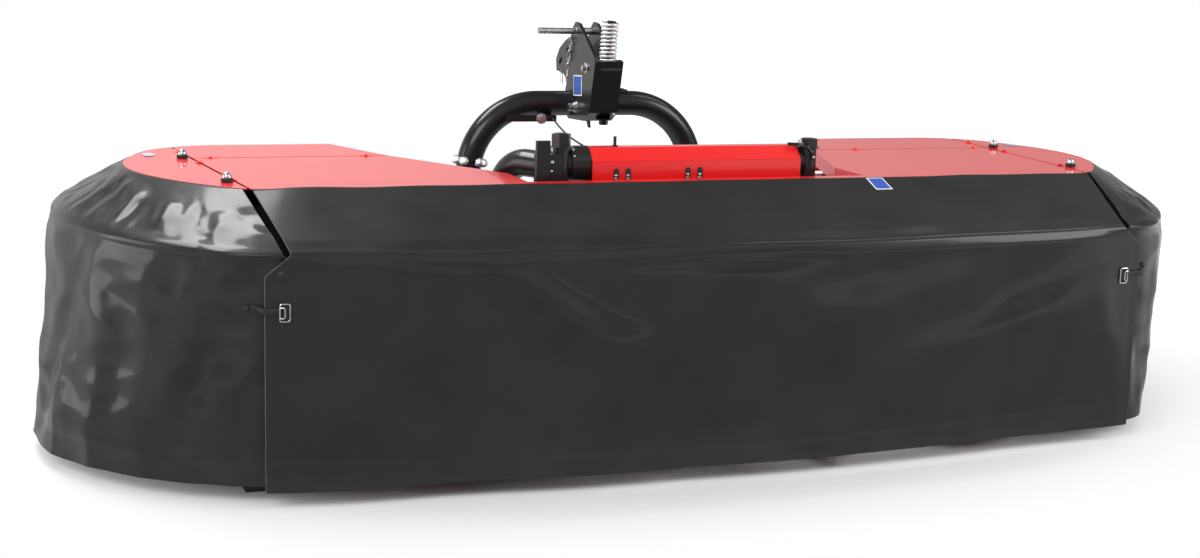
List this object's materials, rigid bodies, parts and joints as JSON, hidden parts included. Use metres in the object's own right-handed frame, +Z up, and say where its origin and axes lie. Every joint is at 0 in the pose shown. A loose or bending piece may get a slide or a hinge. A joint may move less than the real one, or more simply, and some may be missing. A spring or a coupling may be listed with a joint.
{
  "type": "front-mounted disc mower",
  "caption": "Front-mounted disc mower: red hinged covers, black tarpaulin guards, cutterbar with spinning knife discs, arched three-point headstock with spring tower.",
  "frame": {"origin": "on the ground in the middle of the overall box", "axes": "+X across the machine, -Y is the way it drives, +Z up"},
  "size_m": [3.1854, 1.44, 1.0811],
  "materials": {
    "red_paint": "gloss",
    "black_steel": "gloss",
    "tarpaulin": "satin",
    "zinc": "bright",
    "bare_steel": "satin",
    "disc_steel": "satin",
    "knife_steel": "satin",
    "skid_steel": "satin",
    "cast_housing": "satin",
    "rope": "matte"
  },
  "bodies": {
    "machine": {"cutterbar": "black_steel", "bar_skids": "skid_steel", "disc_bearings": "bare_steel", "gearbox": "cast_housing", "link_arms": "black_steel", "swath_boards": "black_steel", "cross_beam": "red_paint", "beam_tube": "black_steel", "pivot_posts": "black_steel", "bracket_plates": "black_steel", "headstock_arch": "black_steel", "hitch_feet": "black_steel", "tower_plates": "black_steel", "tower_housing": "black_steel", "top_pin": "zinc", "tower_spring": "zinc", "arch_lug": "black_steel", "lift_rope": "rope", "rear_curtains": "tarpaulin", "carrier_left": "black_steel", "guard_frame_left": "black_steel", "rear_cover_left": "red_paint", "carrier_right": "black_steel", "guard_frame_right": "black_steel", "rear_cover_right": "red_paint"},
    "front_guard": {"front_cover": "red_paint", "front_curtain": "tarpaulin", "front_frame": "black_steel"},
    "left_side_guard": {"side_cap_left": "red_paint", "side_curtain_left": "tarpaulin", "side_frame_left": "black_steel"},
    "right_side_guard": {"side_cap_right": "red_paint", "side_curtain_right": "tarpaulin", "side_frame_right": "black_steel"},
    "pto_input": {"input_shaft": "bare_steel"},
    "cutting_disc_1": {"disc_1": "disc_steel", "knives_1": "knife_steel"},
    "cutting_disc_2": {"disc_2": "disc_steel", "knives_2": "knife_steel"},
    "cutting_disc_3": {"disc_3": "disc_steel", "knives_3": "knife_steel", "drive_column": "black_steel"},
    "cutting_disc_4": {"disc_4": "disc_steel", "knives_4": "knife_steel"},
    "cutting_disc_5": {"disc_5": "disc_steel", "knives_5": "knife_steel"},
    "cutting_disc_6": {"disc_6": "disc_steel", "knives_6": "knife_steel"}
  },
  "joints": [
    {"name": "front_guard_hinge", "type": "hinge", "parent": "machine", "child": "front_guard", "pos_m": [0, 0.193, 0.7035], "axis": [-1, 0, 0], "range_deg": [0, 85]},
    {"name": "left_guard_hinge", "type": "hinge", "parent": "machine", "child": "left_side_guard", "pos_m": [-1.217, 0.04, 0.7035], "axis": [-0.0995, 0.995, 0], "range_deg": [0, 90]},
    {"name": "right_guard_hinge", "type": "hinge", "parent": "machine", "child": "right_side_guard", "pos_m": [1.217, 0.04, 0.7035], "axis": [-0.0995, -0.995, 0], "range_deg": [0, 90]},
    {"name": "disc_1_spin", "type": "hinge", "parent": "machine", "child": "cutting_disc_1", "pos_m": [-1.0375, -0.35, 0.11], "axis": [0, 0, 1], "continuous": true},
    {"name": "disc_2_spin", "type": "hinge", "parent": "machine", "child": "cutting_disc_2", "pos_m": [-0.6225, -0.35, 0.11], "axis": [0, 0, 1], "continuous": true},
    {"name": "disc_3_spin", "type": "hinge", "parent": "machine", "child": "cutting_disc_3", "pos_m": [-0.2075, -0.35, 0.11], "axis": [0, 0, 1], "continuous": true},
    {"name": "disc_4_spin", "type": "hinge", "parent": "machine", "child": "cutting_disc_4", "pos_m": [0.2075, -0.35, 0.11], "axis": [0, 0, 1], "continuous": true},
    {"name": "disc_5_spin", "type": "hinge", "parent": "machine", "child": "cutting_disc_5", "pos_m": [0.6225, -0.35, 0.11], "axis": [0, 0, 1], "continuous": true},
    {"name": "disc_6_spin", "type": "hinge", "parent": "machine", "child": "cutting_disc_6", "pos_m": [1.0375, -0.35, 0.11], "axis": [0, 0, 1], "continuous": true},
    {"name": "pto_spin", "type": "hinge", "parent": "machine", "child": "pto_input", "pos_m": [-0.2075, -0.15, 0.515], "axis": [0, 1, 0], "continuous": true}
  ],
  "couplings": [
    {"joint": "disc_1_spin", "follows": "disc_3_spin", "ratio": 1},
    {"joint": "disc_2_spin", "follows": "disc_3_spin", "ratio": 1},
    {"joint": "disc_4_spin", "follows": "disc_3_spin", "ratio": -1},
    {"joint": "disc_5_spin", "follows": "disc_3_spin", "ratio": -1},
    {"joint": "disc_6_spin", "follows": "disc_3_spin", "ratio": -1},
    {"joint": "pto_spin", "follows": "disc_3_spin", "ratio": -0.33333}
  ]
}
